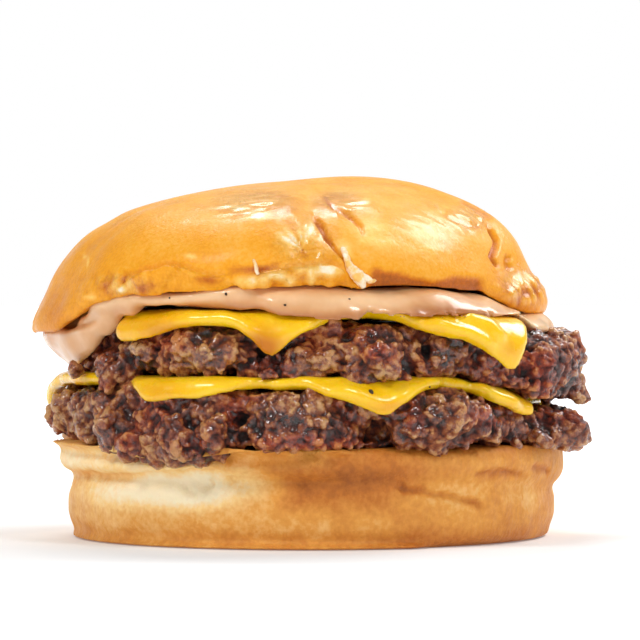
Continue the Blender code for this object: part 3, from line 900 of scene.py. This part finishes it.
def sauce_material():
    """Creamy and a little pink, with a soft shine, and browner where shade is painted."""
    cream = Recipe("pale_sauce")
    cloudy = cream.spread(cream.speckle(7.0, 3.0), 0.3, 0.7, -0.12, 0.12)
    tint = cream.sum(cream.painted("painted_shading"), cloudy)
    colour = cream.ramp(tint, (0.0, (176, 112, 64)), (0.4, (212, 156, 104)), (1.0, (242, 202, 156)))
    soft = cream.bump(cream.speckle(3.0, 2.0), 0.2, 0.5)
    return cream.finish(
        Base_Color=colour,
        Specular_IOR_Level=0.3,
        Roughness=cream.spread(cream.speckle(4.0), 0.35, 0.65, 0.28, 0.42),
        Subsurface_Weight=0.3,
        Subsurface_Radius=(1.0, 0.6, 0.35),
        Subsurface_Scale=3.0 * METRE,
        Coat_Weight=0.5,
        Coat_Roughness=0.12,
        Normal=soft,
    )


SAUCE_EDGE = (
    # its lower edge, where shade is painted darker
    (-38.0, 43.6), (-35.0, 43.8), (-30.5, 45.0), (-20.0, 45.2), (-10.0, 44.6), (-5.5, 43.4), (3.0, 43.0),
    (11.0, 43.6), (20.0, 43.2), (28.0, 43.6), (36.0, 44.4), (42.0, 44.0),
)
SAUCE_RIDGES = (
    # x and z seen from the front, the width and the height
    (((-46.0, 45.5), (-38.0, 46.8), (-30.0, 46.8), (-14.0, 48.6), (-10.0, 49.6)), 2.2, 0.9),
    (((-12.0, 48.0), (8.0, 46.6), (30.0, 47.0), (40.0, 45.4)), 3.4, 0.6),
)
SAUCE_HOLLOWS = (
    (((-50.0, 42.0), (-45.0, 42.4), (-41.0, 44.0)), 1.8, 0.9),
    (((-36.0, 45.2), (-31.0, 45.2), (-26.0, 45.0)), 1.5, 1.4),
)
sauce = grown("sauce", "sauce_band", voxel=0.6, rounds=6)
points, normals = points_of(sauce), normals_of(sauce)
view = front_view(points)
front = facing_front(points)
side = outer_part(points, 40.0, 5.0)
swell = 0.6 * lumps(points, 8.0, 31) + 0.22 * lumps(points, 3.6, 32)
for line, width, height in SAUCE_RIDGES:
    swell = swell + height * groove(view, line, width, 0.1) * front
for line, width, depth in SAUCE_HOLLOWS:
    swell = swell - depth * groove(view, line, width, 0.3) * front
rested = (patch(view, (34.0, 45.0), (13.0, 4.5)) * front)[:, None]  # where it lies on the cheese
lowered = points * (0.016, 0.016, 0.0) * rested - (0.0, 0.0, 0.8) * rested
put_points(sauce, points + normals * (swell * side)[:, None] + lowered)
# Painted light and shade: lighter along the ridges and at the far right end, darker along the lower
# edge, in a hollow and over the right part's middle.
painted_shading = 0.25 * groove(view, SAUCE_RIDGES[0][0], 2.0, 0.1)
painted_shading += 0.3 * groove(view, SAUCE_RIDGES[1][0], 2.2, 0.1)
painted_shading += 0.5 * patch(view, (44.5, 43.4), (6.0, 4.0)) - 0.5 * patch(view, (26.0, 46.4), (14.0, 4.0))
painted_shading -= 0.55 * groove(view, SAUCE_EDGE, 2.4, 0.1) + 0.35 * groove(view, SAUCE_HOLLOWS[1][0], 1.8, 0.3)
paint(sauce, "painted_shading", 0.55 + painted_shading * front)
shown(sauce, "sauce", sauce_material())


# The crown is the domed upper half of the bun, glazed before baking. Its rim rolls in unevenly, with
# blisters at the left, a deep fold down the front and a torn flap at the right.


def crown_material():
    """Golden crust under a thin glaze that is wrinkled in places, with painted shade and highlights in
    its colour.
    """
    crust = Recipe("crown_bread")
    browning_and_shade = crust.sum(crust.painted("browning_and_shade"), crust.spread(crust.speckle(9.0), 0.3, 0.7, -0.04, 0.04))
    browning_and_shade = crust.sum(browning_and_shade, crust.spread(crust.speckle(0.7), 0.3, 0.7, -0.04, 0.04))
    colour = crust.ramp(
        browning_and_shade,
        (0.0, (255, 238, 208)),
        (0.22, (250, 200, 104)),
        (0.5, (238, 160, 26)),
        (0.75, (200, 108, 14)),
        (1.0, (126, 56, 8)),
    )
    pores = crust.bump(crust.speckle(0.5, 4.0), 0.12)
    wrinkles = crust.speckle(1.6, 5.0, 0.62, (1.0, 1.0, 0.6))
    skin = crust.bump(crust.sum(wrinkles, crust.painted("wrinkled"), "MULTIPLY"), 1.0, 1.0, pores)
    plates = crust.spread(crust.crackle(2.6, (1.0, 1.0, 1.7)), 0.0, 0.3)
    plates = crust.sum(plates, crust.painted("wrinkled"), "MULTIPLY")
    skin = crust.bump(plates, 0.1, 1.0, skin)
    return crust.finish(
        Base_Color=colour,
        Roughness=crust.spread(crust.speckle(5.0, 3.0), 0.35, 0.65, 0.3, 0.5),
        Specular_IOR_Level=0.2,
        Coat_Weight=crust.sum(crust.painted("glazed"), 0.7, "MULTIPLY", True),
        Coat_Roughness=crust.spread(crust.speckle(2.5, 4.0), 0.35, 0.65, 0.12, 0.3),
        Subsurface_Weight=0.1,
        Subsurface_Radius=(1.0, 0.5, 0.2),
        Subsurface_Scale=2.0 * METRE,
        Normal=skin,
    )


CROWN_CREASES = (
    # x and z seen from the front, the width and the depth
    (((0.3, 64.6), (3.1, 60.4), (4.9, 57.0), (7.1, 54.8), (9.5, 49.8)), 0.9, 1.1),
    (((2.3, 68.2), (5.3, 65.4), (8.1, 63.6), (10.3, 61.6), (11.3, 59.0)), 0.8, 0.8),
    (((36.3, 62.0), (37.5, 59.0), (36.7, 55.8), (37.9, 53.2)), 1.0, 1.3),
    (((40.1, 56.6), (39.7, 54.8), (40.5, 53.0)), 1.2, 0.7),
    (((25.3, 66.2), (28.1, 64.0), (31.3, 62.2), (34.9, 61.8)), 1.1, 0.5),
    (((29.5, 67.4), (32.5, 65.8), (34.9, 64.0), (37.5, 59.8)), 1.1, 0.5),
    (((-17.0, 53.0), (-10.9, 52.9), (-5.5, 54.0)), 1.8, 0.6),
    (((-38.5, 49.6), (-37.0, 51.6)), 0.9, 0.5),
)
CROWN_LIPS = (
    # below these lines the rim stands out in a roll: the line, the height and how fast it fades
    (((-35.9, 51.4), (-31.1, 53.2), (-28.7, 54.0), (-26.5, 53.6), (-25.8, 51.6)), 1.7, 3.0),
    (((-26.5, 53.6), (-23.3, 52.6), (-19.7, 51.8), (-16.1, 52.2)), 1.4, 1.0),
    (((-15.1, 50.8), (-13.3, 51.2), (-5.5, 52.8), (-1.9, 53.6), (4.1, 53.6), (7.6, 52.2)), 1.4, 3.0),
)
CROWN_TUCK = (
    # below this line the rim turns in under the dome
    (11.7, 54.8), (15.1, 53.8), (18.1, 53.6), (21.1, 52.4), (24.9, 51.6), (30.1, 52.6), (36.0, 52.0),
)
CROWN_DENT = (-1.2, 57.2)
CROWN_HIGHLIGHTS = (
    # where highlights are painted pale on the glaze: a place, a half size and how pale
    ((-10.6, 63.8), (3.4, 1.5), 0.6),
    ((-14.0, 65.2), (4.0, 1.2), 0.3),
    ((10.8, 66.4), (2.0, 1.1), 0.5),
    ((26.4, 65.2), (1.4, 0.9), 0.4),
    ((-23.5, 55.6), (1.6, 0.8), 0.3),
    ((-44.8, 55.0), (0.5, 2.4), 0.35),
    ((1.5, 52.8), (6.0, 1.9), 0.75),
    ((-9.0, 51.8), (7.5, 1.7), 0.6),
    ((-2.3, 59.6), (6.4, 5.0), 0.52),
    ((13.0, 60.0), (9.0, 6.0), 0.26),
    ((-37.0, 49.6), (4.4, 1.5), 0.35),
    ((-44.0, 47.2), (2.0, 0.9), 0.35),
    ((6.8, 57.2), (2.8, 5.0), 0.3),
    ((23.0, 59.0), (7.0, 8.0), 0.2),
    ((42.0, 51.0), (4.0, 2.0), 0.3),
)
GLAZE_WRINKLES = (
    # where the glaze is wrinkled: a place, a half size and how much
    ((-10.0, 66.0), (13.0, 4.6), 0.9),
    ((-1.0, 58.0), (9.5, 8.5), 1.0),
    ((6.0, 66.0), (8.0, 4.0), 1.0),
    ((-4.0, 52.4), (13.0, 2.4), 0.9),
    ((-37.0, 50.0), (8.0, 2.6), 1.0),
    ((22.0, 60.0), (12.0, 9.0), 0.3),
    ((31.0, 63.0), (7.0, 4.0), 0.7),
    ((42.0, 50.0), (6.0, 5.0), 0.9),
)

crown = grown("bun_crown", "crown", voxel=0.45, rounds=5)
points, normals = points_of(crown), normals_of(crown)
# the underside and the back are plainer than the front, and need fewer points
underneath = (normals[:, 2] < -0.75) & (points[:, 2] < 53.0)
thinned(crown, underneath | (points[:, 1] > 6.0), kept=0.22)
points, normals = points_of(crown), normals_of(crown)
view = front_view(points)
front = facing_front(points)
wave = 0.6 * lumps(points, 20.0, 41) + 0.25 * lumps(points, 8.0, 42)
wobble = np.stack([lumps(points, 4.0, 43), lumps(points, 4.0, 44)], 1) * 0.5
creases = np.zeros(len(points))
for line, width, depth in CROWN_CREASES:
    creases = np.maximum(creases, depth * groove(view + wobble, line, width) * front)
folds = eased((0.1 - np.abs(lumps(points, 26.0, 45))) / 0.1) * eased(lumps(points, 30.0, 46) * 2.5 - 0.3)
creases = np.maximum(creases, 0.7 * folds * (1.0 - front))
rolls = np.zeros(len(points))
for line, height, fade in CROWN_LIPS:
    below, share = off_line(view + wobble, line)
    ends = eased(np.minimum(share, 1.0 - share) / 0.1)
    rise = eased((below + 0.3) / 0.8)
    near = rise * np.exp(-np.maximum(below, 0.0) / fade) - 0.4 * (1.0 - rise) * eased(1.0 + below / 1.4)
    rolls += height * ends * near * front
below, share = off_line(view + wobble, CROWN_TUCK)
tucked = eased(below / 1.6) * eased(np.minimum(share, 1.0 - share) / 0.1) * front
skirt = eased((50.5 - points[:, 2]) / 5.0) * (normals[:, 2] < 0.3)
blister = patch(view, (-4.0, 51.0), (18.0, 3.4))
blister = np.maximum(blister, patch(view, (-36.0, 50.0), (12.0, 4.0))) * front
blister = np.maximum(blister, 0.4 * skirt * (1.0 - front))
blister = np.maximum(blister, patch(view, (43.0, 48.5), (7.0, 6.0)) * front)
near = grains(points, 2.4, 47)[0]
bubbles = blister * (0.5 - near) * 1.1
flap = patch(view, (43.5, 47.8), (7.0, 5.5)) * front
dent = patch(view, CROWN_DENT, (3.6, 2.8)) * front
wrinkled = np.zeros(len(points))
glazed = np.zeros(len(points))
for place, size, amount in GLAZE_WRINKLES:
    here = np.minimum(patch(view, place, size) * front * 1.8, 1.0)
    wrinkled = np.maximum(wrinkled, amount * here)
    glazed = np.maximum(glazed, (0.4 + 0.6 * amount) * here)
wrinkled = np.maximum(wrinkled, 0.35 * eased(lumps(points, 16.0, 49) * 2.0) * (1.0 - front))
from_dent = view - CROWN_DENT
distance = np.linalg.norm(from_dent, axis=1)
rays = np.column_stack([from_dent / np.maximum(distance, 0.1)[:, None] * 4.5, distance / 7.0])
streaks = np.where(distance < 11.0, lumps(rays, 1.0, 50), lumps(points * (0.35, 1.0, 1.0), 1.5, 51))
shift = wave * 0.8 - creases + rolls - 0.5 * tucked + bubbles + 1.2 * flap - 0.9 * dent
shift += 0.34 * streaks * wrinkled
outer = eased((points[:, 2] - 41.0) / 1.0)
outer *= eased((np.hypot(points[:, 0] + 5.5, points[:, 1]) - 36.0) / 6.0 + eased(normals[:, 2] * 3.0))
put_points(crown, points + normals * (shift * outer)[:, None])

# painted highlights on the glaze, broken up by the streaks
pale = np.zeros(len(points))
for place, size, amount in CROWN_HIGHLIGHTS:
    pale = np.maximum(pale, amount * patch(view + wobble, place, size) * front * (0.75 + 0.5 * streaks))
# How far the crust has browned, with painted shade darker where the rim tucks in, between the blisters,
# in the creases and the dent, under the left fold and under the dome's edge, and painted highlights
# paler on the blister tops and the streak ridges.
browning_and_shade = 0.47 + 0.07 * lumps(points, 22.0, 48) + 0.36 * tucked + 0.8 * blister * (near - 0.42)
browning_and_shade += 0.26 * creases + 0.3 * dent - pale - 0.14 * streaks * wrinkled
browning_and_shade += 0.08 * patch(view, (-52.0, 44.0), (10.0, 14.0)) * front
browning_and_shade += 0.3 * patch(view, (-20.2, 51.0), (4.5, 1.3)) * front
browning_and_shade += 0.2 * patch(view, (-10.7, 53.2), (6.0, 1.0)) * front
paint(crown, "browning_and_shade", browning_and_shade)
paint(crown, "wrinkled", np.clip(0.14 + wrinkled, 0.0, 1.0))
paint(crown, "glazed", np.clip(np.maximum(0.12 + glazed, 0.8 * wrinkled), 0.0, 1.0))
shown(crown, "bun_crown", crown_material())


# The strands are white crumb from inside the bun. The crust tore as it was folded, and they stayed on
# it: one along the deep fold, a frayed bit beside it and a thin one at the left.


FRONT_DEPTH = -48.0  # about how far forward the food's front stands


def seen_on(pieces, place):
    """Where the line of sight through this x and z first meets one of these pieces' faces, or the
    nearest point of them where it meets none."""
    way = (Vector((place[0], 0.0, place[1])) - EYE).normalized()
    hits = [tree.ray_cast(EYE, way)[:2] for tree in pieces]
    if all(hit[0] is None for hit in hits):
        goal = Vector((place[0], FRONT_DEPTH, place[1]))
        hits = [tree.find_nearest(goal)[:2] for tree in pieces]
    return min((hit for hit in hits if hit[0] is not None), key=lambda hit: (hit[0] - EYE).length)


def strand(name, surfaces, line, widths):
    """A torn strand that lies on a surface along a line, and is this wide at each of its points."""
    curve = bpy.data.curves.new(name, "CURVE")
    curve.dimensions = "3D"
    curve.bevel_depth = METRE
    curve.bevel_resolution = 3
    curve.use_fill_caps = True
    spline = curve.splines.new("NURBS")
    spline.points.add(len(line) - 1)
    spline.use_endpoint_u = True
    spline.order_u = 3
    for point, place, width in zip(spline.points, line, widths):
        hit, normal = seen_on(surfaces, place)
        point.co = (*((hit + normal * width * 0.25) * METRE), 1.0)
        point.radius = width / 2.0
    made = bpy.data.objects.new(name, curve)
    bpy.context.scene.collection.objects.link(made)
    mesh = bpy.data.meshes.new_from_object(made.evaluated_get(bpy.context.evaluated_depsgraph_get()))
    bpy.data.objects.remove(made)
    piece = bpy.data.objects.new(name, mesh)
    bpy.context.scene.collection.objects.link(piece)
    skin = piece.modifiers.new("skin", "REMESH")
    skin.mode = "VOXEL"
    skin.voxel_size = 0.2 * METRE
    settle(piece)
    points = points_of(piece)
    ragged = 0.22 * lumps(points, 0.9, 61) + 0.15 * lumps(points, 0.5, 62)
    put_points(piece, points + normals_of(piece) * ragged[:, None])
    piece.data.shade_smooth()
    return piece


def crumb_material():
    """The white inside of the bread, a little stained by the glaze."""
    crumb = Recipe("torn_crumb")
    stain = crumb.spread(crumb.speckle(1.6), 0.35, 0.65)
    return crumb.finish(
        Base_Color=crumb.ramp(stain, (0.0, (252, 240, 216)), (1.0, (244, 190, 96))),
        Roughness=0.5,
        Normal=crumb.bump(crumb.speckle(0.5, 4.0), 0.15),
    )


STRANDS = (
    # x and z seen from the front, and the width at each of these places
    (
        "torn_strand",
        ((6.7, 57.4), (7.6, 55.4), (8.8, 53.2), (10.2, 50.8), (11.0, 49.4)),
        (0.8, 1.4, 2.2, 2.6, 1.2),
    ),
    (
        "frayed_bit",
        ((9.4, 53.2), (11.0, 51.4), (12.4, 50.6), (13.2, 51.2)),
        (0.8, 1.5, 1.2, 0.5),
    ),
    (
        "thin_strand",
        ((-11.2, 55.2), (-10.9, 53.8), (-10.2, 52.0)),
        (0.6, 0.8, 0.6),
    ),
)
crust = [tree_of(crown)]
crumb = crumb_material()
for name, line, widths in STRANDS:
    piece = strand(name, crust, line, widths)
    piece.data.materials.append(crumb)
    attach(piece, "root")


# The pepper is cracked black peppercorns, stirred into the sauce and fallen on the cheese. Each fleck
# is stuck half sunk where it landed.


def pepper_material():
    """Nearly black, with browner faces where it cracked."""
    pepper = Recipe("black_pepper")
    return pepper.finish(
        Base_Color=pepper.ramp(pepper.speckle(0.3), (0.3, (24, 16, 10)), (0.7, (70, 48, 30))),
        Roughness=0.6,
    )


FLECKS = (
    # x and z seen from the front, and the half size
    (12.3, 28.6, 0.5),
    (-16.7, 48.2, 0.3),
    (-4.9, 46.0, 0.28),
    (24.0, 29.6, 0.22),
    (8.0, 47.2, 0.2),
    (-28.0, 47.4, 0.2),
)
draw = random.Random(9)
flecks = bmesh.new()
soft_pieces = [tree_of(piece) for piece in (lower_cheese, upper_cheese, sauce)]
for x, z, size in FLECKS:
    hit, _ = seen_on(soft_pieces, (x, z))
    turn = any_turn(draw, 3.0, 4)
    shape = Matrix.Diagonal((size * 1.2, size, size * 0.8, 1.0))
    place = Matrix.Translation(hit * METRE) @ turn @ shape
    bmesh.ops.create_icosphere(flecks, subdivisions=2, radius=METRE, matrix=place)
pepper_mesh = bpy.data.meshes.new("pepper")
flecks.to_mesh(pepper_mesh)
flecks.free()
pepper_mesh.materials.append(pepper_material())
pepper = bpy.data.objects.new("pepper", pepper_mesh)
bpy.context.scene.collection.objects.link(pepper)
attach(pepper, "root")
